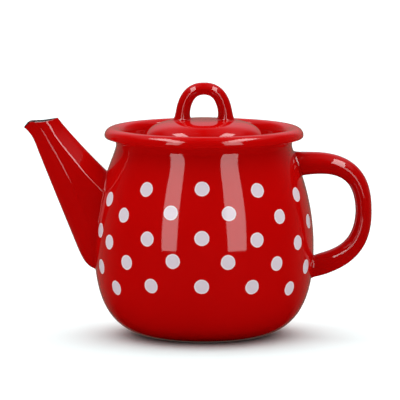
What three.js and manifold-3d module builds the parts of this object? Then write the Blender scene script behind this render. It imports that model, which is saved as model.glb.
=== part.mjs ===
// An enamelled steel teapot: a round pressed pot with a rolled rim, a pouring spout and a
// hollow D handle that are each pressed in two halves, and a domed lid with a lifting loop.
// Millimetres, +Z up. The origin is the centre of the flat base, the spout points to -X
// and the handle to +X.

import * as THREE from "three";
import { mergeVertices } from "three/addons/utils/BufferGeometryUtils.js";
import Module from "manifold-3d";

const wasm = await Module();
wasm.setup();

// Sheet steel with its enamel, and the gap that is left between pieces that meet
const sheetThickness = 1.2;
const fitGap = 0.3;

// Pot: the flat foot, the belly, the neck above it and the rolled rim
const footRadius = 34.9;
const bellyRadius = 68.6;
const bellyHeight = 55.5;
const neckRadius = 54.9;
const neckHeight = 119;
const footSweepAngle = THREE.MathUtils.degToRad(8.5);
const footSweepShare = 0.73;
const bellyLowerShare = 0.58;
const bellyUpperShare = 0.56;
const neckLeadShare = 0.08;

// Rim: a small ledge that carries the lid, a flare up to the crest, then the open roll
const seatWidth = 1.3;
const seatRise = 2.2;
const crestOut = 2;
const crestRise = 11.2;
const rimOut = 7.2;
const rimRise = 6;
const curlRadius = 1.5;
const curlAngle = THREE.MathUtils.degToRad(120);
const flareLeadShare = 0.75;
const crestLeadShare = 0.8;

// Strainer: rows of holes punched in the wall behind the spout
const strainerHoleRadius = 2.6;
const strainerPitch = 8.5;
const strainerRows = [1, 2, 3, 2, 1];
const strainerSides = 12;

// Spout: where its two edges meet the wall, how far the beak reaches and its mouth
const spoutTopDrop = 15.6;
const spoutBottomDrop = 14.8;
const spoutReach = 43.6;
const spoutRise = 1;
const spoutMouthLength = 22;
const spoutMouthTilt = THREE.MathUtils.degToRad(11);
const spoutRootHalfWidth = 17;
const spoutThroatHalfWidth = 7.6;
const spoutMouthHalfWidth = 7;
const spoutChinRadius = 12;
const spoutBeakLength = 15.4;
const spoutLean = THREE.MathUtils.degToRad(68);
const spoutEmbed = 9;
const spoutSagShare = 0.05;
const beakFlareShare = 0.56;
const spoutChinShare = 0.08;
const spoutThroatShare = 0.84;
const spoutRootShares = [0, 0.3, 0.6, 0.85, 1];
const spoutNeckShares = [0.2, 0.4, 0.6, 0.8, 1];
const spoutBeakShares = [0.35, 0.65, 0.85, 1];

// Handle: the heights of its two roots, the room for fingers and its section
const handleTopDrop = 11.5;
const handleBottomDrop = 13;
const fingerGap = 26;
const handleTopDepth = 14;
const handleGripDepth = 10.3;
const handleBottomDepth = 14.2;
const handleTopHalfWidth = 9;
const handleGripHalfWidth = 7.8;
const handleEmbed = 7;
const handleWaistShare = 0.517;
const handleTopLeadShare = 0.56;
const handleShoulderShare = 1.02;
const handleElbowShare = 0.52;
const handleBottomLeadShare = 0.8;
const handleBottomAngle = THREE.MathUtils.degToRad(17);
const handleSquareness = 2.3;

// Lid: a dome on a flat flange, with a skirt below that enters the neck
const domeRadius = 37.2;
const domeRise = 12.4;
const domeCrownShare = 0.706;
const domeShoulderRadiusShare = 0.918;
const domeShoulderRiseShare = 0.805;
const skirtClearance = 0.8;
const skirtHeight = 9;

// Loop on the lid: a rod bent to an arch, thicker at its feet
const loopHalfSpan = 13.6;
const loopRise = 23.4;
const loopFootDepth = 9.2;
const loopTopDepth = 7.7;
const loopHalfWidth = 5.5;
const loopEmbed = 6;
const loopLegShare = 0.73;
const loopCrownShare = 0.65;

// Fineness of the curved surfaces
const potSegments = 56;
const lowerWallSteps = 7;
const upperWallSteps = 9;
const seatSteps = 3;
const flareSteps = 3;
const rollSteps = 5;
const curlSteps = 3;
const lidSegments = 44;
const domeSteps = 8;
const halfRingSteps = 9;
const handleUpperSteps = 8;
const handleLowerSteps = 7;
const loopSides = 14;
const loopSteps = 9;

// How square a limb's section is: 2 is an ellipse
const roundSection = 2;

// Heights and radii that more than one piece uses
const halfSheet = sheetThickness / 2;
const crestRadius = neckRadius + crestOut;
const crestHeight = neckHeight + crestRise;
const rimRadius = neckRadius + rimOut;
const rimHeight = neckHeight + rimRise;
const neckBore = neckRadius - sheetThickness;
const seatHeight = neckHeight + seatRise;
const flangeRadius = neckBore + seatWidth - fitGap;
const flangeTop = seatHeight + sheetThickness;
const crownHeight = flangeTop + domeRise;
const spoutTopHeight = neckHeight - spoutTopDrop;
const spoutBottomHeight = bellyHeight - spoutBottomDrop;
const handleTopHeight = neckHeight - handleTopDrop;
const handleBottomHeight = bellyHeight - handleBottomDrop;

const enamelRed = { color: 0xb50a0c, roughness: 0.12, metalness: 0 };

const point = (x, y) => new THREE.Vector2(x, y);

function bezier(steps, start, startLead, endLead, end) {
  return new THREE.CubicBezierCurve(start, startLead, endLead, end).getPoints(steps);
}

function arc(steps, centre, radiusX, radiusY, from, to) {
  const clockwise = to < from;
  return new THREE.EllipseCurve(centre.x, centre.y, radiusX, radiusY, from, to, clockwise).getPoints(steps);
}

function joined(...runs) {
  return runs.flatMap((run, index) => (index === 0 ? run : run.slice(1)));
}

// Moves an open line sideways, to its right where distance is positive
function offsetLine(line, distance) {
  return line.map((here, index) => {
    const before = line[Math.max(index - 1, 0)];
    const after = line[Math.min(index + 1, line.length - 1)];
    const arriving = here.clone().sub(before).normalize();
    const leaving = after.clone().sub(here).normalize();
    const along = arriving.clone().add(leaving).normalize();
    const halfTurn = Math.max(along.dot(index === 0 ? leaving : arriving), Math.SQRT1_2);
    return here.clone().add(point(along.y, -along.x).multiplyScalar(distance / halfTurn));
  });
}

// A sheet whose middle line starts on the axis, turned about the axis
function sheetLathe(middleLine, segments) {
  const outside = offsetLine(middleLine, halfSheet);
  const inside = offsetLine(middleLine, -halfSheet);
  outside[0].x = 0;
  inside[0].x = 0;
  return lathe([...outside, ...inside.reverse()], segments);
}

function lathe(profile, segments) {
  const geometry = new THREE.LatheGeometry(profile, segments);
  geometry.rotateX(Math.PI / 2);
  return geometry;
}

function merged(geometry) {
  geometry.deleteAttribute("normal");
  geometry.deleteAttribute("uv");
  return mergeVertices(geometry);
}

function solid(geometry) {
  const closed = merged(geometry);
  return new wasm.Manifold(
    new wasm.Mesh({
      numProp: 3,
      vertProperties: closed.attributes.position.array,
      triVerts: new Uint32Array(closed.index.array),
    }),
  );
}

function geometryOf(manifold) {
  const mesh = manifold.getMesh();
  const geometry = new THREE.BufferGeometry();
  geometry.setAttribute("position", new THREE.BufferAttribute(mesh.vertProperties, 3));
  geometry.setIndex(new THREE.BufferAttribute(mesh.triVerts, 1));
  return geometry;
}

function named(name, geometry) {
  geometry.computeVertexNormals();
  const mesh = new THREE.Mesh(geometry, new THREE.MeshStandardMaterial(enamelRed));
  mesh.name = name;
  return mesh;
}

// The middle of the pot's sheet from the foot to the neck
function wallLine() {
  const foot = point(footRadius, halfSheet);
  const belly = point(bellyRadius - halfSheet, bellyHeight);
  const neck = point(neckRadius - halfSheet, neckHeight);
  const shoulder = neckHeight - bellyHeight;
  const sweep = (bellyRadius - footRadius) * footSweepShare;
  const lower = bezier(
    lowerWallSteps,
    foot,
    point(foot.x + sweep * Math.cos(footSweepAngle), foot.y + sweep * Math.sin(footSweepAngle)),
    point(belly.x, bellyHeight * (1 - bellyLowerShare)),
    belly,
  );
  const upper = bezier(
    upperWallSteps,
    belly,
    point(belly.x, bellyHeight + shoulder * bellyUpperShare),
    point(neck.x, neckHeight - shoulder * neckLeadShare),
    neck,
  );
  return joined([point(0, halfSheet), foot], lower, upper);
}

// The middle of the sheet above the neck: the lid's seat, the flare, the roll and its curl
function rimLine() {
  const neck = point(neckRadius - halfSheet, neckHeight);
  const collar = point(neck.x + seatWidth, seatHeight);
  const crest = point(crestRadius, crestHeight - halfSheet);
  const tipRadius = rimRadius - halfSheet;
  const seat = bezier(
    seatSteps,
    neck,
    point(neck.x, neck.y + seatRise / 2),
    point(collar.x, collar.y - seatRise / 2),
    collar,
  );
  const flare = bezier(
    flareSteps,
    collar,
    point(collar.x, collar.y + (crest.y - collar.y) * flareLeadShare),
    point(crest.x - (crest.x - collar.x) * crestLeadShare, crest.y),
    crest,
  );
  const rollCentre = point(crest.x, rimHeight);
  const roll = arc(rollSteps, rollCentre, tipRadius - crest.x, crest.y - rimHeight, Math.PI / 2, 0);
  const middleCurl = curlRadius - halfSheet;
  const curlCentre = point(tipRadius - middleCurl, rimHeight);
  const curl = arc(curlSteps, curlCentre, middleCurl, middleCurl, 0, -curlAngle);
  return joined(seat, flare, roll, curl);
}

// The radius of the wall's outside at a height below the neck
function wallRadiusAt(height) {
  const outside = offsetLine(wallLine(), halfSheet).slice(1);
  const upper = outside.findIndex((here) => here.y >= height);
  const [below, above] = [outside[Math.max(upper - 1, 0)], outside[upper]];
  const share = (height - below.y) / (above.y - below.y);
  return below.x + (above.x - below.x) * share;
}

// The filled outside of the wall, grown by the gap: what the spout and handle are cut with
function wallCutter() {
  const outside = offsetLine(wallLine(), halfSheet + fitGap);
  const top = outside[outside.length - 1];
  outside[0].x = 0;
  return solid(lathe([...outside, point(0, top.y)], potSegments));
}

function strainerHoles() {
  const middleHeight = (spoutTopHeight + spoutBottomHeight) / 2;
  const depth = bellyRadius - neckBore + spoutEmbed;
  const spread = (count, index) => (index - (count - 1) / 2) * strainerPitch;
  const rowRise = strainerPitch * Math.sqrt(3 / 4);
  const holes = strainerRows.flatMap((count, row) => {
    const height = middleHeight + ((strainerRows.length - 1) / 2 - row) * rowRise;
    return Array.from({ length: count }, (_, index) => {
      const hole = new THREE.CylinderGeometry(strainerHoleRadius, strainerHoleRadius, depth, strainerSides);
      hole.rotateZ(Math.PI / 2);
      hole.translate(-wallRadiusAt(height), spread(count, index), height);
      return solid(hole);
    });
  });
  return holes.reduce((all, hole) => all.add(hole));
}

function potBody() {
  const sheet = sheetLathe(joined(wallLine(), rimLine()), potSegments);
  return geometryOf(solid(sheet).subtract(strainerHoles()));
}

// Half of a hollow limb that lies along the XZ plane. A station has the ends of the limb's
// section in that plane and its half width; side is 1 for the half at +Y and -1 at -Y.
function halfLimb(stations, squareness, side) {
  const ringSize = 2 * (halfRingSteps + 1);
  const vertices = stations.flatMap((station) => halfRing(station, squareness, side));
  const triangles = [];
  const quad = (a, b, c, d) => triangles.push(...(side > 0 ? [a, b, c, a, c, d] : [a, c, b, a, d, c]));
  for (let ring = 0; ring < stations.length - 1; ring += 1) {
    const start = ring * ringSize;
    for (let step = 0; step < ringSize; step += 1) {
      const next = (step + 1) % ringSize;
      quad(start + step, start + next, start + ringSize + next, start + ringSize + step);
    }
  }
  const last = (stations.length - 1) * ringSize;
  for (let step = 0; step < halfRingSteps; step += 1) {
    const inner = ringSize - 1 - step;
    quad(step, inner, inner - 1, step + 1);
    quad(last + step, last + step + 1, last + inner - 1, last + inner);
  }
  const geometry = new THREE.BufferGeometry();
  geometry.setAttribute("position", new THREE.Float32BufferAttribute(vertices.flat(), 3));
  geometry.setIndex(triangles);
  return geometry;
}

function halfRing({ high, low, halfWidth }, squareness, side) {
  const middle = high.clone().add(low).divideScalar(2);
  const up = high.clone().sub(low).normalize();
  const halfDepth = high.distanceTo(low) / 2;
  const rounded = (value) => Math.sign(value) * Math.abs(value) ** (2 / squareness);
  const arcOf = (depth, width) =>
    Array.from({ length: halfRingSteps + 1 }, (_, step) => {
      const angle = (Math.PI * step) / halfRingSteps;
      const along = step % halfRingSteps === 0 ? Math.cos(angle) : rounded(Math.cos(angle));
      const across = step % halfRingSteps === 0 ? 0 : rounded(Math.sin(angle));
      const here = middle.clone().addScaledVector(up, depth * along);
      return [here.x, side * width * across, here.y];
    });
  const inner = arcOf(halfDepth - sheetThickness, halfWidth - sheetThickness);
  return [...arcOf(halfDepth, halfWidth), ...inner.reverse()];
}

// The spout's sections from inside the wall to the mouth
function spoutStations() {
  const beak = point(-bellyRadius - spoutReach, crestHeight + spoutRise);
  const mouthTop = point(
    beak.x + spoutMouthLength * Math.cos(spoutMouthTilt),
    beak.y + spoutMouthLength * Math.sin(spoutMouthTilt),
  );
  const rootTop = point(-wallRadiusAt(spoutTopHeight), spoutTopHeight);
  const rootBottom = point(-wallRadiusAt(spoutBottomHeight), spoutBottomHeight);
  const lean = point(-Math.cos(spoutLean), Math.sin(spoutLean));
  const throat = beak.clone().addScaledVector(lean, -spoutBeakLength);
  throat.x += spoutBeakLength * (1 - beakFlareShare) * Math.cos(spoutLean);
  const chinHeight = spoutBottomHeight + spoutChinRadius;
  const chin = point(throat.x + (throat.y - chinHeight) / Math.tan(spoutLean), chinHeight);
  const corner = point(chin.x + spoutChinRadius / Math.tan(spoutLean), spoutBottomHeight);
  const sag = point(rootTop.x - mouthTop.x, rootTop.y - mouthTop.y).multiplyScalar(spoutSagShare);
  const bend = rootTop.clone().add(mouthTop).divideScalar(2).add(point(sag.y, -sag.x));
  const topEdge = new THREE.QuadraticBezierCurve(rootTop, bend, mouthTop);
  const chinEdge = new THREE.QuadraticBezierCurve(rootBottom, corner, chin);
  const beakLead = throat.clone().addScaledVector(lean, spoutBeakLength * beakFlareShare);
  const beakEdge = new THREE.QuadraticBezierCurve(throat, beakLead, beak);
  const station = (high, low, halfWidth) => ({ high, low, halfWidth });
  const embed = point(spoutEmbed, 0);
  const { lerp } = THREE.MathUtils;
  return [
    station(rootTop.clone().add(embed), rootBottom.clone().add(embed), spoutRootHalfWidth),
    ...spoutRootShares.map((share) =>
      station(topEdge.getPoint(share * spoutChinShare), chinEdge.getPoint(share), spoutRootHalfWidth),
    ),
    ...spoutNeckShares.map((share) =>
      station(
        topEdge.getPoint(lerp(spoutChinShare, spoutThroatShare, share)),
        chin.clone().lerp(throat, share),
        lerp(spoutRootHalfWidth, spoutThroatHalfWidth, share),
      ),
    ),
    ...spoutBeakShares.map((share) =>
      station(
        topEdge.getPoint(lerp(spoutThroatShare, 1, share)),
        beakEdge.getPoint(share),
        lerp(spoutThroatHalfWidth, spoutMouthHalfWidth, share),
      ),
    ),
  ];
}

// The handle's middle line: from the top root out to the grip, then down to the bottom root
function handleCurves() {
  const gripX = bellyRadius + fingerGap + handleGripDepth / 2;
  const waist = THREE.MathUtils.lerp(handleBottomHeight, handleTopHeight, handleWaistShare);
  const topRoot = point(wallRadiusAt(handleTopHeight), handleTopHeight);
  const bottomRoot = point(wallRadiusAt(handleBottomHeight), handleBottomHeight);
  const grip = point(gripX, waist);
  const topLead = (gripX - topRoot.x) * handleTopLeadShare;
  const bottomLead = (gripX - bottomRoot.x) * handleBottomLeadShare;
  const bottomTurn = point(Math.cos(handleBottomAngle), Math.sin(handleBottomAngle));
  const upper = new THREE.CubicBezierCurve(
    topRoot,
    point(topRoot.x + topLead, handleTopHeight),
    point(gripX, waist + (handleTopHeight - waist) * handleShoulderShare),
    grip,
  );
  const lower = new THREE.CubicBezierCurve(
    grip,
    point(gripX, waist - (waist - handleBottomHeight) * handleElbowShare),
    bottomRoot.clone().addScaledVector(bottomTurn, bottomLead),
    bottomRoot,
  );
  return { upper, lower };
}

// The section square to the handle's middle line at a place on it
function handleSection(middle, tangent, depth, halfWidth) {
  const outward = point(-tangent.y, tangent.x).multiplyScalar(depth / 2);
  return { high: middle.clone().add(outward), low: middle.clone().sub(outward), halfWidth };
}

// The handle's sections, from inside the wall at the bottom to inside the wall at the top
function handleStations() {
  const { upper, lower } = handleCurves();
  const { lerp } = THREE.MathUtils;
  const topInside = upper.getPoint(0).addScaledVector(upper.getTangent(0), -handleEmbed);
  const bottomInside = lower.getPoint(1).addScaledVector(lower.getTangent(1), handleEmbed);
  const shares = (steps) => Array.from({ length: steps }, (_, index) => index / steps);
  return [
    handleSection(topInside, upper.getTangent(0), handleTopDepth, handleTopHalfWidth),
    ...shares(handleUpperSteps).map((share) =>
      handleSection(
        upper.getPoint(share),
        upper.getTangent(share),
        lerp(handleTopDepth, handleGripDepth, share),
        lerp(handleTopHalfWidth, handleGripHalfWidth, share),
      ),
    ),
    ...[...shares(handleLowerSteps), 1].map((share) =>
      handleSection(
        lower.getPoint(share),
        lower.getTangent(share),
        lerp(handleGripDepth, handleBottomDepth, share),
        lerp(handleGripHalfWidth, handleTopHalfWidth, share),
      ),
    ),
    handleSection(bottomInside, lower.getTangent(1), handleBottomDepth, handleTopHalfWidth),
  ].reverse();
}

// The middle of the lid's sheet: the dome, then the flat flange
function lidLine() {
  const dome = bezier(
    domeSteps,
    point(0, crownHeight),
    point(domeRadius * domeCrownShare, crownHeight),
    point(domeRadius * domeShoulderRadiusShare, flangeTop + domeRise * domeShoulderRiseShare),
    point(domeRadius, flangeTop),
  );
  return joined(offsetLine(dome, halfSheet), [
    point(domeRadius, flangeTop - halfSheet),
    point(flangeRadius, flangeTop - halfSheet),
  ]);
}

function lid() {
  const line = lidLine();
  line[0].x = 0;
  const top = offsetLine(line, -halfSheet);
  const underside = offsetLine(line, halfSheet);
  top[0].x = 0;
  underside[0].x = 0;
  return lathe([...underside, ...top.reverse()], lidSegments);
}

function lidSkirt() {
  const outer = neckBore - skirtClearance;
  const inner = outer - sheetThickness;
  const top = seatHeight - fitGap;
  const bottom = top - skirtHeight;
  const start = point(inner, bottom);
  const profile = [start, point(outer, bottom), point(outer, top), point(inner, top), start];
  return lathe(profile, lidSegments);
}

// The filled lid, grown by the gap: what the loop's feet are cut with
function lidCutter() {
  const top = offsetLine(lidLine(), -halfSheet - fitGap);
  top[0].x = 0;
  const edge = top[top.length - 1];
  const base = flangeTop - loopEmbed;
  return solid(lathe([point(0, base), point(edge.x, base), ...top.reverse()], lidSegments));
}

function lidLoop() {
  const foot = crownHeight - loopEmbed;
  const top = crownHeight + loopRise - loopTopDepth / 2;
  const rise = top - foot;
  const half = new THREE.CubicBezierCurve(
    point(-loopHalfSpan, foot),
    point(-loopHalfSpan, foot + rise * loopLegShare),
    point(-loopHalfSpan * loopCrownShare, top),
    point(0, top),
  );
  const rings = [];
  for (let index = 0; index <= 2 * loopSteps; index += 1) {
    const share = 1 - Math.abs(index / loopSteps - 1);
    const side = index <= loopSteps ? 1 : -1;
    const middle = half.getPoint(share);
    const tangent = half.getTangent(share);
    const depth = THREE.MathUtils.lerp(loopFootDepth, loopTopDepth, share) / 2;
    rings.push(fullRing(middle, tangent, depth, side));
  }
  return geometryOf(solid(limb(rings)).subtract(lidCutter()));
}

// One ring round a rod whose middle line lies in the XZ plane
function fullRing(middle, tangent, halfDepth, side) {
  return Array.from({ length: loopSides }, (_, index) => {
    const angle = (2 * Math.PI * index) / loopSides;
    const here = middle.clone().addScaledVector(point(-tangent.y, tangent.x), halfDepth * Math.cos(angle));
    return [side * here.x, loopHalfWidth * Math.sin(angle), here.y];
  });
}

// A solid limb through rings of points, closed by a fan at each end
function limb(rings) {
  const size = rings[0].length;
  const triangles = [];
  for (let ring = 0; ring < rings.length - 1; ring += 1) {
    const start = ring * size;
    for (let step = 0; step < size; step += 1) {
      const next = (step + 1) % size;
      triangles.push(start + step, start + size + next, start + next);
      triangles.push(start + step, start + size + step, start + size + next);
    }
  }
  const last = (rings.length - 1) * size;
  for (let step = 1; step < size - 1; step += 1) {
    triangles.push(0, step, step + 1);
    triangles.push(last, last + step + 1, last + step);
  }
  const geometry = new THREE.BufferGeometry();
  geometry.setAttribute("position", new THREE.Float32BufferAttribute(rings.flat(2), 3));
  geometry.setIndex(triangles);
  return geometry;
}

// Half of a limb that is trimmed to the pot's wall
function cutToWall(stations, squareness, side) {
  return geometryOf(solid(halfLimb(stations, squareness, side)).subtract(wallCutter()));
}

const teapot = new THREE.Group();
teapot.add(named("pot_body", potBody()));
teapot.add(named("spout_left_half", cutToWall(spoutStations(), roundSection, -1)));
teapot.add(named("spout_right_half", cutToWall(spoutStations(), roundSection, 1)));
teapot.add(named("handle_left_half", cutToWall(handleStations(), handleSquareness, -1)));
teapot.add(named("handle_right_half", cutToWall(handleStations(), handleSquareness, 1)));

const lidGroup = new THREE.Group();
lidGroup.add(named("lid", lid()));
lidGroup.add(named("lid_skirt", lidSkirt()));
lidGroup.add(named("lid_loop", lidLoop()));
teapot.add(lidGroup);

export default teapot;
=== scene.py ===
import math

import bpy
from mathutils import Matrix, Vector
from mathutils.geometry import interpolate_bezier


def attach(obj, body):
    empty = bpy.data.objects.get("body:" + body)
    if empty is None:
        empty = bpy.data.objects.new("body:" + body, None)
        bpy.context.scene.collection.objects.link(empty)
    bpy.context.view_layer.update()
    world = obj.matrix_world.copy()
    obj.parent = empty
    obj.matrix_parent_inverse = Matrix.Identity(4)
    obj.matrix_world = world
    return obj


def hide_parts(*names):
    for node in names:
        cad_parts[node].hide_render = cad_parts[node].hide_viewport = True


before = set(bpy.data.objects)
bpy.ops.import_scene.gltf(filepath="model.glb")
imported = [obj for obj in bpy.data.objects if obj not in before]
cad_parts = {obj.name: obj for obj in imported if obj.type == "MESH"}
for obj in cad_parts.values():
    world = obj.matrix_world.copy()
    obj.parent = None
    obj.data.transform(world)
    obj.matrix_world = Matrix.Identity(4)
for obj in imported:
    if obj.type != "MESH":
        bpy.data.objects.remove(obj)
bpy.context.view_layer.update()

# Pot body: one sheet of steel, deep-drawn with a flat foot, a belly and a neck, and turned over
# at the rim down to a ledge for the lid. It is enamelled red outside and white inside, and its
# dots are stencilled on before the last firing.
sheet = 0.0012
half_sheet = sheet / 2
foot_radius = 0.0349
belly_radius = 0.0686
belly_height = 0.0555
neck_radius = 0.0549
neck_height = 0.119
foot_sweep = 0.0246
foot_sweep_angle = math.radians(8.5)
flare = (0.0578, 0.124)
rim_middle = (0.0615, 0.1253)
crest = (0.0569, 0.1296)
lip_wall = (0.0518, 0.1235)
ledge = (0.05, 0.1205)
ledge_bore = 0.049
pot_sides = 144


def curve(steps, *corners):
    """Points of a curve in the plane, given as (radius, height) pairs of its ends and leads."""
    knots = [Vector((radius, 0, height)) for radius, height in corners]
    return [(spot.x, spot.z) for spot in interpolate_bezier(*knots, steps + 1)]


def arc(steps, centre, radii, start, end):
    """Points of an arc in the plane, angles in degrees from the horizontal."""
    turns = [math.radians(start + (end - start) * step / steps) for step in range(steps + 1)]
    return [
        (centre[0] + radii[0] * math.cos(turn), centre[1] + radii[1] * math.sin(turn))
        for turn in turns
    ]


belly_middle = (belly_radius - half_sheet, belly_height)
neck_middle = (neck_radius - half_sheet, neck_height)
foot_middle = (foot_radius, half_sheet)
shoulder = neck_height - belly_height
lower_wall = curve(
    18,
    foot_middle,
    (
        foot_radius + foot_sweep * math.cos(foot_sweep_angle),
        half_sheet + foot_sweep * math.sin(foot_sweep_angle),
    ),
    (belly_middle[0], belly_height * 0.435),
    belly_middle,
)
upper_wall = curve(
    20,
    belly_middle,
    (belly_middle[0], belly_height + shoulder * 0.56),
    (neck_middle[0], neck_height - shoulder * 0.08),
    neck_middle,
)
wall_line = lower_wall + upper_wall[1:]
rim_radii = (rim_middle[0] - crest[0], crest[1] - rim_middle[1])
rim_line = (
    curve(6, neck_middle, (neck_middle[0], 0.1222), (0.0546, flare[1]), flare)[1:]
    + curve(5, flare, (0.0604, flare[1]), (rim_middle[0], 0.1241), rim_middle)[1:]
    + arc(10, (crest[0], rim_middle[1]), rim_radii, 0, 90)[1:]
    + curve(8, crest, (0.054, crest[1]), (0.0519, 0.128), lip_wall)[1:]
    + curve(4, lip_wall, (lip_wall[0], 0.1213), (0.0514, ledge[1]), ledge)[1:]
    + [(ledge_bore, ledge[1])]
)


def between(line, height):
    """The radius of a line of (radius, height) pairs at a height."""
    for (below, low), (above, high) in zip(line, line[1:]):
        if low <= height <= high:
            return below + (above - below) * (height - low) / (high - low)
    return 0.0


def edit(piece, select="SELECT"):
    """Goes into edit mode on one piece alone, with all or none of it selected."""
    if bpy.context.mode != "OBJECT":
        bpy.ops.object.mode_set(mode="OBJECT")
    bpy.ops.object.select_all(action="DESELECT")
    piece.select_set(True)
    bpy.context.view_layer.objects.active = piece
    bpy.ops.object.mode_set(mode="EDIT")
    bpy.ops.mesh.select_all(action=select)


def leave_edit():
    """Turns all faces outwards and goes back to object mode."""
    bpy.ops.mesh.select_all(action="SELECT")
    bpy.ops.mesh.remove_doubles(threshold=0.00001)
    bpy.ops.mesh.normals_make_consistent(inside=False)
    bpy.ops.object.mode_set(mode="OBJECT")


def apply_modifier(piece, kind, **settings):
    modifier = piece.modifiers.new(kind.title(), kind)
    for name, value in settings.items():
        setattr(modifier, name, value)
    bpy.context.view_layer.objects.active = piece
    bpy.ops.object.modifier_apply(modifier=modifier.name)


def smooth(piece, angle=40):
    bpy.ops.object.select_all(action="DESELECT")
    piece.select_set(True)
    bpy.context.view_layer.objects.active = piece
    bpy.ops.object.shade_smooth_by_angle(angle=math.radians(angle))


def draw_sheet(name, line, sides, disc=True):
    """A disc or a hoop drawn out ring by ring along the middle line of a turned sheet."""
    bpy.ops.object.select_all(action="DESELECT")
    (radius, height), *rest = line
    bpy.ops.mesh.primitive_circle_add(
        vertices=sides,
        radius=radius,
        fill_type="TRIFAN" if disc else "NOTHING",
        location=(0, 0, height),
    )
    bpy.ops.object.transform_apply(location=True)
    piece = bpy.context.object
    piece.name = name
    edit(piece)
    if disc:
        bpy.ops.mesh.region_to_loop()
    for next_radius, next_height in rest:
        grow = next_radius / radius
        bpy.ops.mesh.extrude_region_move(
            TRANSFORM_OT_translate={"value": (0, 0, next_height - height)}
        )
        bpy.ops.transform.resize(value=(grow, grow, 1), center_override=(0, 0, next_height))
        radius, height = next_radius, next_height
    leave_edit()
    return piece


def thicken(piece, edge_radius=0.00045):
    """Gives the drawn sheet its thickness and rounds its free edge, as melted enamel does."""
    apply_modifier(piece, "SOLIDIFY", thickness=sheet, offset=0, use_even_offset=True)
    corners = {"limit_method": "ANGLE", "angle_limit": math.radians(60)}
    apply_modifier(piece, "BEVEL", width=edge_radius, segments=3, **corners)


base_line = [(foot_radius * 0.5, half_sheet)]
pot = draw_sheet("pot_body_enamelled", base_line + wall_line + rim_line, pot_sides)
thicken(pot)

hole_radius = 0.0026
hole_pitch = 0.0085
hole_middle = 0.07205
punch_length = 0.03
for row, count in enumerate((1, 2, 3, 2, 1)):
    hole_height = hole_middle + (2 - row) * hole_pitch * math.sqrt(0.75)
    for index in range(count):
        bpy.ops.object.select_all(action="DESELECT")
        bpy.ops.mesh.primitive_cylinder_add(
            vertices=24,
            radius=hole_radius,
            depth=punch_length,
            location=(
                -between(wall_line, hole_height),
                (index - (count - 1) / 2) * hole_pitch,
                hole_height,
            ),
            rotation=(0, math.pi / 2, 0),
        )
        punch = bpy.context.object
        apply_modifier(pot, "BOOLEAN", object=punch, operation="DIFFERENCE", solver="EXACT")
        bpy.data.objects.remove(punch)
smooth(pot)


class Shade:
    """One value or colour in a tree of nodes, so that sums on it read as plain sums."""

    def __init__(self, tree, socket=None):
        self.tree = tree
        self.socket = socket

    def node(self, kind, settings, sockets, output=0):
        made = self.tree.nodes.new(kind)
        for name, value in settings.items():
            setattr(made, name, value)
        for name, value in sockets.items():
            if isinstance(value, Shade):
                self.tree.links.new(value.socket, made.inputs[name])
            else:
                made.inputs[name].default_value = value
        return Shade(self.tree, made.outputs[output] if made.outputs else None)

    def maths(self, operation, *values):
        return self.node("ShaderNodeMath", {"operation": operation}, dict(enumerate(values)))

    def __add__(self, other):
        return self.maths("ADD", self, other)

    def __sub__(self, other):
        return self.maths("SUBTRACT", self, other)

    def __rsub__(self, other):
        return self.maths("SUBTRACT", other, self)

    def __mul__(self, other):
        return self.maths("MULTIPLY", self, other)

    def __truediv__(self, other):
        return self.maths("DIVIDE", self, other)

    __radd__ = __add__
    __rmul__ = __mul__

    def clamped(self):
        return self.node("ShaderNodeClamp", {}, {"Value": self})

    def at_least(self, lowest):
        return self.maths("MAXIMUM", self, lowest)

    def absolute(self):
        return self.maths("ABSOLUTE", self)

    def part(self, axis):
        return self.node("ShaderNodeSeparateXYZ", {}, {0: self}, axis)

    def noise(self, scale, detail=2.0):
        sockets = {"Vector": self, "Scale": scale, "Detail": detail}
        return self.node("ShaderNodeTexNoise", {}, sockets, "Fac")

    def mix(self, first, second):
        """Goes from the first colour to the second as this value goes from 0 to 1."""
        sockets = {0: self, 6: first, 7: second}
        return self.node("ShaderNodeMix", {"data_type": "RGBA"}, sockets, 2)


def start_finish(name):
    """A new material without nodes, and the piece's own coordinates in it."""
    material = bpy.data.materials.new(name)
    material.use_nodes = True
    material.node_tree.nodes.clear()
    return material, Shade(material.node_tree).node("ShaderNodeTexCoord", {}, {}, "Object")


def end_finish(place, colour, roughness, height):
    """The glassy coat that all enamel has: its colour, its gloss and the relief of its surface."""
    relief = place.node("ShaderNodeBump", {}, {"Strength": 1.0, "Distance": 1.0, "Height": height})
    sockets = {"Base Color": colour, "Roughness": roughness, "IOR": 1.5, "Normal": relief}
    surface = place.node("ShaderNodeBsdfPrincipled", {}, sockets)
    place.node("ShaderNodeOutputMaterial", {}, {"Surface": surface})


def enamel_relief(place):
    """Slow waves of the sheet under the enamel, and the fine orange peel on top, in metres."""
    return place.noise(38.0, 1.0) * 0.00008 + place.noise(420.0, 1.0) * 0.0000012


red_deep = (0.56, 0.0012, 0.001, 1)
red_light = (0.62, 0.0022, 0.002, 1)


def red_enamel(name, tone=1.0):
    """Plain red enamel, made darker all over by a tone below 1."""
    material, place = start_finish(name)
    deep, light = (tuple(part * tone for part in red[:3]) + (1,) for red in (red_deep, red_light))
    colour = place.noise(22.0).mix(deep, light)
    end_finish(place, colour, place.noise(160.0) * 0.03 + 0.03, enamel_relief(place))
    return material


def white_enamel(name):
    material, place = start_finish(name)
    colour = place.noise(60.0).mix((0.72, 0.7, 0.69, 1), (0.82, 0.8, 0.8, 1))
    end_finish(place, colour, place.noise(160.0) * 0.05 + 0.08, enamel_relief(place))
    return material


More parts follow.
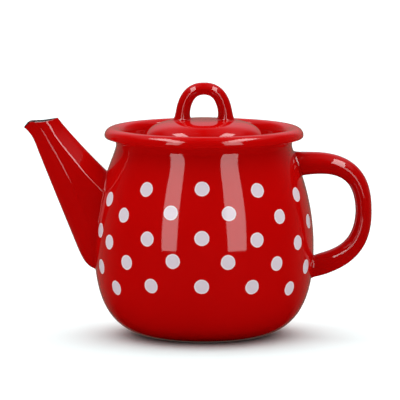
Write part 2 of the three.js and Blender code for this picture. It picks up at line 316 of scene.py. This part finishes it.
# Each dot's azimuth in degrees, from straight in front towards +X, and its height.
dot_radius = 0.00453
dot_edge = 0.00025
dots = (
    (-64.6, 0.0884), (-34.5, 0.0973), (-1.1, 0.0988), (31.7, 0.0969), (63.4, 0.0914),
    (-70.6, 0.0684), (-48.1, 0.0805), (-18.1, 0.0842), (13.4, 0.0839), (44.5, 0.0801),
    (74.1, 0.0735), (-58.8, 0.0627), (-30.8, 0.0676), (-1.1, 0.0692), (28.5, 0.0672),
    (57.9, 0.0625), (-68.5, 0.046), (-44, 0.0519), (-16.2, 0.0548), (12.4, 0.0543),
    (40.7, 0.0516), (67.7, 0.0461), (-53.9, 0.0347), (-28.7, 0.0387), (-1.2, 0.0394),
    (25.9, 0.0383), (52, 0.0346),
)


def dotted_enamel(name):
    """Red enamel with round pale dots, the same at the back as at the front."""
    material, place = start_finish(name)
    folded = {"X": place.part("X"), "Y": place.part("Y").absolute(), "Z": place.part("Z")}
    spot = place.node("ShaderNodeCombineXYZ", {}, folded)
    nearest = None
    for azimuth, height in dots:
        radius = between(wall_line, height) + half_sheet
        turn = math.radians(azimuth)
        centre = (radius * math.sin(turn), radius * math.cos(turn), height)
        ends = {0: spot, 1: centre}
        away = spot.node("ShaderNodeVectorMath", {"operation": "DISTANCE"}, ends, "Value")
        nearest = away if nearest is None else nearest.maths("MINIMUM", nearest, away)
    ragged = place.noise(300.0) * 0.0006 - 0.0003
    inward = (dot_radius - nearest + ragged) / dot_edge
    dot = (inward + 0.5).clamped()
    middle = (inward - 2.5).clamped()
    red = place.noise(22.0).mix(red_deep, red_light)
    pale = middle.mix((0.95, 0.88, 0.92, 1), (0.84, 0.75, 0.83, 1))
    roughness = place.noise(160.0) * 0.03 + 0.03 + dot * 0.05
    end_finish(place, dot.mix(red, pale), roughness, enamel_relief(place) + dot * 0.00003)
    return material


pot.data.materials.append(dotted_enamel("dotted_red_enamel"))
pot.data.materials.append(white_enamel("white_enamel_inside"))
for face in pot.data.polygons:
    spot = face.center
    if spot.z < neck_height + 0.001:
        face.material_index = int(math.hypot(spot.x, spot.y) < between(wall_line, spot.z))
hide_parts("pot_body")
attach(pot, "pot")

# Spout: two pressed half shells, welded along the middle plane and onto the pot, so that the
# enamel covers the seams. It is hollow and pale inside, and its beak is pulled down a little
# to keep it from dripping.
spout_top = 0.1027
spout_bottom = 0.0412
spout_root_top = (-between(wall_line, spout_top) - half_sheet, spout_top)
spout_root_bottom = (-between(wall_line, spout_bottom) - half_sheet, spout_bottom)
spout_beak = (-0.1125, 0.1294)
spout_back = (-0.0911, 0.1361)
spout_throat = (-0.1042, 0.1169)
spout_chin = (-0.0782, 0.0527)
spout_half_widths = [(0.017, 0.0), (0.0168, 0.2), (0.0147, 0.47), (0.0074, 0.93), (0.007, 1.0)]
chin_share, chin_reach = 0.2, 0.08
beak_share, beak_reach = 0.8, 0.84
ring_sides = 24


def lerp(first, second, share):
    return first + (second - first) * share


def along(first, second, share):
    return tuple(lerp(a, b, share) for a, b in zip(first, second))


def bent(start, lead, end, share):
    """A point of a curve that leaves its start towards the lead and comes from it to its end."""
    return along(along(start, lead, share), along(lead, end, share), share)


def section(high, low, half_width, grow=0.0):
    """A limb's section from its highest and lowest point: its middle, tilt and half sizes."""
    rise = (high[0] - low[0], high[1] - low[1])
    middle = along(high, low, 0.5)
    return middle, math.atan2(*rise), math.hypot(*rise) / 2 + grow, half_width + grow


def half_outline(lower, upper):
    """Half a section from its low to its high edge, of two quarters of (width, depth) points."""
    return [(width, -depth) for width, depth in lower[:0:-1]] + list(upper)


def blend(first, second, share):
    return [along(one, other, share) for one, other in zip(first, second)]


def cage_of(outline):
    """Moves the points of a half section outwards, so that the rounded cage meets them."""
    (width, depth), (far_width, far_depth) = outline[1], outline[-2]
    around = [(-width, depth)] + outline + [(-far_width, far_depth)]
    return [
        tuple(here + (here - (before + after) / 2) * 0.4 for before, here, after in zip(*three))
        for three in zip(around, around[1:], around[2:])
    ]


def ring_of(piece, ring):
    first = ring % (len(piece.data.vertices) // ring_sides) * ring_sides
    return piece.data.vertices[first:first + ring_sides]


def draw_limb(name, sections, outlines):
    """A hoop drawn from section to section and pressed to its outline at each: a limb's cage."""
    bpy.ops.object.select_all(action="DESELECT")
    bpy.ops.mesh.primitive_circle_add(
        vertices=ring_sides, radius=1, fill_type="NOTHING", rotation=(0, math.pi / 2, 0)
    )
    bpy.ops.object.transform_apply(rotation=True)
    piece = bpy.context.object
    piece.name = name
    edit(piece)
    for step in range(len(sections) - 1):
        bpy.ops.mesh.extrude_region_move(TRANSFORM_OT_translate={"value": (1, 0, 0)})
    bpy.ops.object.mode_set(mode="OBJECT")
    for ring, ((place, tilt, depth, width), outline) in enumerate(zip(sections, outlines)):
        cage = cage_of(outline)
        for vertex in ring_of(piece, ring):
            turn = math.atan2(vertex.co.z, abs(vertex.co.y))
            across, up = cage[round((turn / math.pi + 0.5) * (len(cage) - 1))]
            across = math.copysign(across * width, vertex.co.y)
            rise = (up * depth * math.sin(tilt), up * depth * math.cos(tilt))
            vertex.co = (place[0] + rise[0], across, place[1] + rise[1])
    return piece


def seat(piece, ring, place_of):
    """Lays one ring of a limb's cage onto the sheet that carries it."""
    for vertex in ring_of(piece, ring):
        vertex.co = place_of(vertex.co)


def on_wall(side, lift):
    """Where a point lies when it is moved along X onto the pot's wall, or so far off it."""

    def place_of(spot):
        radius = between(wall_line, spot.z) + half_sheet + lift
        return Vector((side * math.sqrt(radius ** 2 - spot.y ** 2), spot.y, spot.z))

    return place_of


def finish_limb(piece):
    """Turns the faces outwards, rounds the cage and shades it smooth."""
    edit(piece)
    bpy.ops.mesh.normals_make_consistent(inside=False)
    bpy.ops.object.mode_set(mode="OBJECT")
    apply_modifier(piece, "SUBSURF", levels=2, render_levels=2)
    smooth(piece)


def edge_enamel(name):
    """The thin dark coat that is left on a lip."""
    material, place = start_finish(name)
    colour = place.noise(90.0).mix((0.03, 0.008, 0.009, 1), (0.06, 0.014, 0.015, 1))
    end_finish(place, colour, place.noise(160.0) * 0.05 + 0.12, enamel_relief(place))
    return material


fillet = 0.0018
spout_corner = (-0.07335, spout_bottom)
spout_bend = (-0.0757, 0.1175)
beak_lead = (-0.1062, 0.1252)
beak_drop = 0.0034
beak_drop_span = 0.32
beak_edge = -0.109
oval_quarter = ((1, 0), (0.98, 0.2), (0.93, 0.38), (0.82, 0.56), (0.62, 0.76), (0.34, 0.93), (0, 1))
root_quarter = (
    (1, 0), (0.985, 0.48), (0.955, 0.62), (0.83, 0.71), (0.6, 0.84), (0.31, 0.945), (0, 1),
)
under_quarter = (
    (1, 0), (0.99, 0.145), (0.885, 0.3), (0.74, 0.494), (0.538, 0.705), (0.288, 0.9), (0, 1),
)
over_quarter = (
    (1, 0), (0.986, 0.3), (0.952, 0.45), (0.817, 0.553), (0.577, 0.725), (0.317, 0.888), (0, 1),
)
neck_quarter = (
    (1, 0), (0.992, 0.12), (0.974, 0.228), (0.816, 0.4), (0.645, 0.58), (0.4, 0.78), (0, 1),
)
crease_quarter = (
    (1, 0), (0.992, 0.15), (0.974, 0.27), (0.816, 0.415), (0.645, 0.57), (0.4, 0.77), (0, 1),
)
mouth_quarter = ((1, 0), (0.985, 0.17), (0.95, 0.32), (0.8, 0.5), (0.6, 0.68), (0.34, 0.87), (0, 1))
root_outline = half_outline(oval_quarter, root_quarter)
middle_outline = half_outline(under_quarter, over_quarter)
neck_outline = half_outline(neck_quarter, crease_quarter)
mouth_outline = half_outline(mouth_quarter, mouth_quarter)


def spout_section(share, grow=0.0):
    """The spout's section at a share of its way from the pot to the beak's tip."""
    if share < chin_share:
        run = share / chin_share
        low = bent(spout_root_bottom, spout_corner, spout_chin, run)
        reach = chin_reach * run
    elif share < beak_share:
        run = (share - chin_share) / (beak_share - chin_share)
        low = along(spout_chin, spout_throat, run)
        reach = lerp(chin_reach, beak_reach, run)
    else:
        run = (share - beak_share) / (1 - beak_share)
        low = bent(spout_throat, beak_lead, spout_beak, run)
        reach = lerp(beak_reach, 1, run)
    high = bent(spout_root_top, spout_bend, spout_back, reach)
    return section(high, low, between(spout_half_widths, share), grow)


spout_outlines = (
    (0.15, root_outline), (0.56, middle_outline), (0.82, neck_outline), (1.0, mouth_outline),
)


def spout_outline(share):
    """The half section that the spout is pressed to: its soft creases wander on the way."""
    for (start, first), (end, second) in zip(spout_outlines, spout_outlines[1:]):
        if share < end:
            return blend(first, second, max(share - start, 0) / (end - start))
    return mouth_outline


outer_shares = (
    0, 0.06, 0.12, 0.17, 0.22, 0.3, 0.4, 0.5, 0.6, 0.7, 0.8, 0.86, 0.91, 0.95, 0.98, 0.992, 1.0,
)
bore_shares = (1.0, 0.985, 0.95, 0.9, 0.8, 0.7, 0.56, 0.38, 0.2, 0.09, 0)
ring_shares = (0, 0) + outer_shares + bore_shares
ring_grows = (fillet, fillet) + (0,) * len(outer_shares) + (-sheet,) * len(bore_shares)
spout_run = [spout_section(share, grow) for share, grow in zip(ring_shares, ring_grows)]
spout = draw_limb("spout_welded", spout_run, [spout_outline(share) for share in ring_shares])
for ring, share in enumerate(ring_shares):
    place, tilt, depth, width = spout_run[ring]
    lift = beak_drop * max(0, (share - beak_share) / (1 - beak_share)) ** 2
    for vertex in ring_of(spout, ring):
        rise = (vertex.co.x - place[0]) * math.sin(tilt) + (vertex.co.z - place[1]) * math.cos(tilt)
        way = max(0, rise / depth + 1) / beak_drop_span
        vertex.co.z += lift * way * math.exp(1 - way)
seat(spout, 0, on_wall(-1, -0.0009))
seat(spout, 1, on_wall(-1, -0.0001))
seat(spout, 2, on_wall(-1, 0))
seat(spout, -1, on_wall(-1, -0.0006))
lip = 2 + len(outer_shares) - 1
edit(spout, "DESELECT")
bpy.ops.mesh.select_mode(type="EDGE")
bpy.ops.mesh.select_non_manifold()
bpy.ops.mesh.bridge_edge_loops()
bpy.ops.object.mode_set(mode="OBJECT")
spout.data.materials.append(red_enamel("red_enamel_spout", 0.88))
spout.data.materials.append(white_enamel("white_enamel_spout"))
spout.data.materials.append(edge_enamel("dark_edge_spout"))
for face in spout.data.polygons:
    ring = min(corner // ring_sides for corner in face.vertices)
    on_beak = ring == lip - 1 and face.center.x < beak_edge
    face.material_index = int(ring > lip + 1) or 2 * int(ring >= lip or on_beak)
finish_limb(spout)
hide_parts("spout_left_half", "spout_right_half")
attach(spout, "pot")

# Handle: two pressed half shells welded to a hollow D with a slightly square section. Both
# of its ends are welded flat on the pot, and the enamel runs into a small fillet there.
upper_weld = 0.1073
lower_weld = 0.0426
handle_top = (between(wall_line, upper_weld) + half_sheet, upper_weld)
handle_bottom = (between(wall_line, lower_weld) + half_sheet, lower_weld)
handle_grip = (0.0998, 0.0784)
handle_depths = (0.0152, 0.0101, 0.0143)
handle_half_widths = (0.0098, 0.0078, 0.0084)
handle_upper = (handle_top, (0.0683, upper_weld), (handle_grip[0], 0.1139), handle_grip)
handle_lower = (handle_grip, (handle_grip[0], 0.0544), (0.0867, 0.0474), handle_bottom)


def rod_sections(knots, steps, depths, widths):
    """Sections square to a curve, each with its half sizes, from the curve's start to its end."""
    line = curve(steps * 8, *knots)
    made = []
    for step in range(steps + 1):
        here = line[step * 8]
        before = line[max(step * 8 - 1, 0)]
        after = line[min(step * 8 + 1, len(line) - 1)]
        tilt = math.atan2(-(after[1] - before[1]), after[0] - before[0])
        share = step / steps
        made.append((here, tilt, lerp(*depths, share) / 2, lerp(*widths, share)))
    return made


def grown(one, grow):
    place, tilt, depth, width = one
    return place, tilt, depth + grow, width + grow


handle_run = (
    rod_sections(handle_upper, 13, handle_depths[:2], handle_half_widths[:2])
    + rod_sections(handle_lower, 12, handle_depths[1:], handle_half_widths[1:])[1:]
)
handle_fillet = 0.0014
grip_quarter = (
    (1, 0), (0.965, 0.19), (0.885, 0.38), (0.74, 0.59), (0.55, 0.78), (0.31, 0.93), (0, 1),
)
handle_rings = (
    [grown(handle_run[0], handle_fillet)] * 2
    + handle_run
    + [grown(handle_run[-1], handle_fillet)] * 2
)
handle = draw_limb(
    "handle_welded", handle_rings, [half_outline(grip_quarter, grip_quarter)] * len(handle_rings)
)
for ring, lift in ((0, -0.0005), (1, -0.0001), (2, 0), (-3, 0), (-2, -0.0001), (-1, -0.0005)):
    seat(handle, ring, on_wall(1, lift))
edit(handle)
bpy.ops.mesh.fill_holes(sides=0)
bpy.ops.object.mode_set(mode="OBJECT")
handle.data.materials.append(red_enamel("red_enamel_handle", 0.82))
finish_limb(handle)
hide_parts("handle_left_half", "handle_right_half")
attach(handle, "pot")

# Lid: one pressed sheet, a low dome on a flat flange that lies on the pot's ledge. It is
# enamelled red on top, and its loop and its skirt are welded to it.
lid_sides = 128
dome_height = 0.1347
flange_height = 0.1218
dome_line = curve(16, (0.0, dome_height), (0.0259, dome_height), (0.0337, 0.1321), (0.0366, 0.1236))
flange_start = (0.0386, flange_height)
lid_line = (
    dome_line[1:]
    + curve(4, dome_line[-1], (0.03685, 0.1223), (0.0374, flange_height), flange_start)[1:]
    + [(0.045, flange_height), (0.0508, flange_height)]
)
lid = draw_sheet("lid_enamelled", lid_line, lid_sides)
thicken(lid)
smooth(lid)
lid.data.materials.append(red_enamel("red_enamel_lid"))
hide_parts("lid")
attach(lid, "lid")

# Skirt: a hoop of sheet welded under the flange. It enters the neck and keeps the lid on
# while the tea is poured.
skirt_radius = 0.0478
skirt_line = [
    (0.0475, 0.1123), (skirt_radius, 0.1135), (skirt_radius, 0.117), (skirt_radius, 0.1209),
]
skirt = draw_sheet("lid_skirt_enamelled", skirt_line, lid_sides, disc=False)
thicken(skirt)
smooth(skirt)
skirt.data.materials.append(white_enamel("white_enamel_skirt"))
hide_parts("lid_skirt")
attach(skirt, "lid")

# Loop: a thick rod bent to an arch, a little thicker at its feet, welded to the dome with
# round fillets that the enamel fills.
loop_span = 0.014
loop_foot = 0.1288
loop_top = 0.15435
loop_rise = loop_top - loop_foot
loop_depths = (0.0092, 0.0077)
loop_half_width = 0.0055
foot_span = 0.0136
foot_height = 0.134
foot_half_depth = 0.0051
foot_end = 0.1375
loop_fillet = 0.0028
loop_knots = (
    (-loop_span, loop_foot),
    (-loop_span, loop_foot + loop_rise * 0.73),
    (-loop_span * 0.65, loop_top),
    (0, loop_top),
)
loop_left = rod_sections(loop_knots, 12, loop_depths, (loop_half_width, loop_half_width))
loop_right = [
    ((-place[0], place[1]), -tilt, depth, width) for place, tilt, depth, width in loop_left[-2::-1]
]


def on_dome(lift):
    """Where a point lies when it is moved along Z onto the dome, or so far off it."""
    falling = [(-height, radius) for radius, height in dome_line]

    def place_of(spot):
        height = -between(falling, math.hypot(spot.x, spot.y)) + half_sheet
        return Vector((spot.x, spot.y, height + lift))

    return place_of


loop_run = [one for one in loop_left + loop_right if one[0][1] > foot_end]
foot_left, foot_right = (
    ((side * foot_span, foot_height), tilt, foot_half_depth, loop_half_width)
    for side, tilt in ((-1, loop_run[0][1]), (1, loop_run[-1][1]))
)
loop_quarter = (
    (1, 0), (0.96, 0.18), (0.87, 0.37), (0.72, 0.58), (0.53, 0.78), (0.3, 0.93), (0, 1),
)
loop_rings = (
    [grown(foot_left, loop_fillet)] * 2
    + [foot_left]
    + loop_run
    + [foot_right]
    + [grown(foot_right, loop_fillet)] * 2
)
loop = draw_limb(
    "lid_loop_welded", loop_rings, [half_outline(loop_quarter, loop_quarter)] * len(loop_rings)
)
for ring, lift in ((0, -0.0006), (1, -0.0001), (2, 0), (-3, 0), (-2, -0.0001), (-1, -0.0006)):
    seat(loop, ring, on_dome(lift))
edit(loop)
bpy.ops.mesh.fill_holes(sides=0)
bpy.ops.object.mode_set(mode="OBJECT")
loop.data.materials.append(red_enamel("red_enamel_loop", 0.9))
finish_limb(loop)
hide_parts("lid_loop")
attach(loop, "lid")

# Floor: a plain pale sheet that the pot stands on. It is white to the camera, apart from the
# soft shadow round the foot, and duller to the light that it throws back.
bpy.ops.object.select_all(action="DESELECT")
bpy.ops.mesh.primitive_plane_add(size=30)
floor = bpy.context.object
floor.name = "floor"
floor.visible_glossy = False
floor_finish = bpy.data.materials.new("pale_floor")
floor_finish.use_nodes = True
floor_finish.node_tree.nodes.clear()
start = Shade(floor_finish.node_tree)
to_camera = start.node("ShaderNodeLightPath", {}, {}, "Is Camera Ray")
seen = start.node("ShaderNodeBsdfDiffuse", {}, {"Color": (0.9, 1.0, 1.0, 1)})
thrown_back = start.node("ShaderNodeBsdfDiffuse", {}, {"Color": (0.71, 0.71, 0.71, 1)})
floor_mix = start.node("ShaderNodeMixShader", {}, {0: to_camera, 1: thrown_back, 2: seen})
start.node("ShaderNodeOutputMaterial", {}, {"Surface": floor_mix})
floor.data.materials.append(floor_finish)

# Studio: a soft white room, dark on the camera's side so that the enamel stays deep red, two
# upright strip lamps and two overhead boxes that show only as reflections.
world = bpy.data.worlds.new("studio_room")
bpy.context.scene.world = world
world.use_nodes = True
world.node_tree.nodes.clear()
room = Shade(world.node_tree).node("ShaderNodeTexCoord", {}, {}, "Generated")
to_camera = room.node("ShaderNodeLightPath", {}, {}, "Is Camera Ray")
to_gloss = room.node("ShaderNodeLightPath", {}, {}, "Is Glossy Ray")
up = room.part("Z").at_least(0.0)
sideways = room.part("X").absolute()
overhead = (room.part("Z") * 0.95 + room.part("Y") * 0.25).at_least(0.0)
soft_light = overhead * overhead * overhead * overhead * 2.25 + up * 0.8 + 0.15
behind = ((room.part("Y") + 0.05) / 0.9).clamped()
not_in_front = ((room.part("Y") + 0.3) * 4).clamped()
beside = not_in_front * (sideways * 1.6).clamped()
near_middle = ((0.62 - sideways) * 5).clamped()
below_top = ((0.95 - up) * 3).clamped()
above_floor = ((room.part("Z") + 0.48) * 3).clamped()
near_top = ((up - 0.62) * 5).clamped()
back_wall = behind * behind * near_middle * up * below_top * 0.85 + above_floor * (1 - up) * 0.2
mirrored = behind * behind * back_wall + beside * near_top * 0.42
tint = (up * 2 + 0.2).clamped().mix((1, 0.82, 0.6, 1), (1, 0.96, 1.08, 1))
strength = to_camera + to_gloss * mirrored + (1 - to_camera - to_gloss) * soft_light
colour = to_gloss.mix((1, 1, 1, 1), tint)
light = room.node("ShaderNodeBackground", {}, {"Color": colour, "Strength": strength})
room.node("ShaderNodeOutputWorld", {}, {"Surface": light})

# Each lamp's azimuth and elevation, width and height in degrees, radiance, the way that its
# height runs, its distance, and the height that it is aimed at.
lamps = (
    ("strip_left", -36.2, 16.8, 16.8, 40.4, 3.6, (0, 0, 1), 3.0, 0.065),
    ("strip_right", 34.5, 16.8, 21, 40.4, 3.6, (0, 0, 1), 3.0, 0.065),
    ("box_left", -59.2, 55.8, 15.6, 52, 7.0, (-0.15, 0.91, 0.39), 1.2, 0.12),
    ("box_right", 59.2, 55.8, 15.6, 52, 7.0, (0.15, 0.91, 0.39), 1.2, 0.12),
)
for name, azimuth, elevation, wide, high, radiance, top, distance, aim in lamps:
    lamp = bpy.data.lights.new(name, "AREA")
    lamp.shape = "RECTANGLE"
    lamp.size = 2 * distance * math.tan(math.radians(wide / 2))
    lamp.size_y = 2 * distance * math.tan(math.radians(high / 2))
    lamp.energy = radiance * math.pi * lamp.size * lamp.size_y
    turn, rise = math.radians(azimuth), math.radians(elevation)
    away = Vector((math.sin(turn) * math.cos(rise), -math.cos(turn) * math.cos(rise), math.sin(rise)))
    across = Vector(top).cross(away).normalized()
    placed = bpy.data.objects.new(name, lamp)
    placed.location = away * distance + Vector((0, 0, aim))
    placed.rotation_euler = Matrix((across, away.cross(across), away)).transposed().to_euler()
    placed.visible_diffuse = False
    placed.visible_camera = False
    bpy.context.collection.objects.link(placed)

# Camera: a long lens a little above the pot, looking down on it by 7.5 degrees.
camera_data = bpy.data.cameras.new("camera")
camera_data.lens = 388.8
camera_data.sensor_width = 36
camera = bpy.data.objects.new("camera", camera_data)
camera_distance = 2.7
pot_middle = 0.065
down = math.radians(7.5)
camera.location = (
    0, -camera_distance * math.cos(down), pot_middle + camera_distance * math.sin(down),
)
target = Vector((-0.0025, 0.0025, 0.0841))
camera.rotation_euler = (target - camera.location).to_track_quat("-Z", "Y").to_euler()
bpy.context.collection.objects.link(camera)
bpy.context.scene.camera = camera
bpy.context.scene.view_settings.view_transform = "Standard"
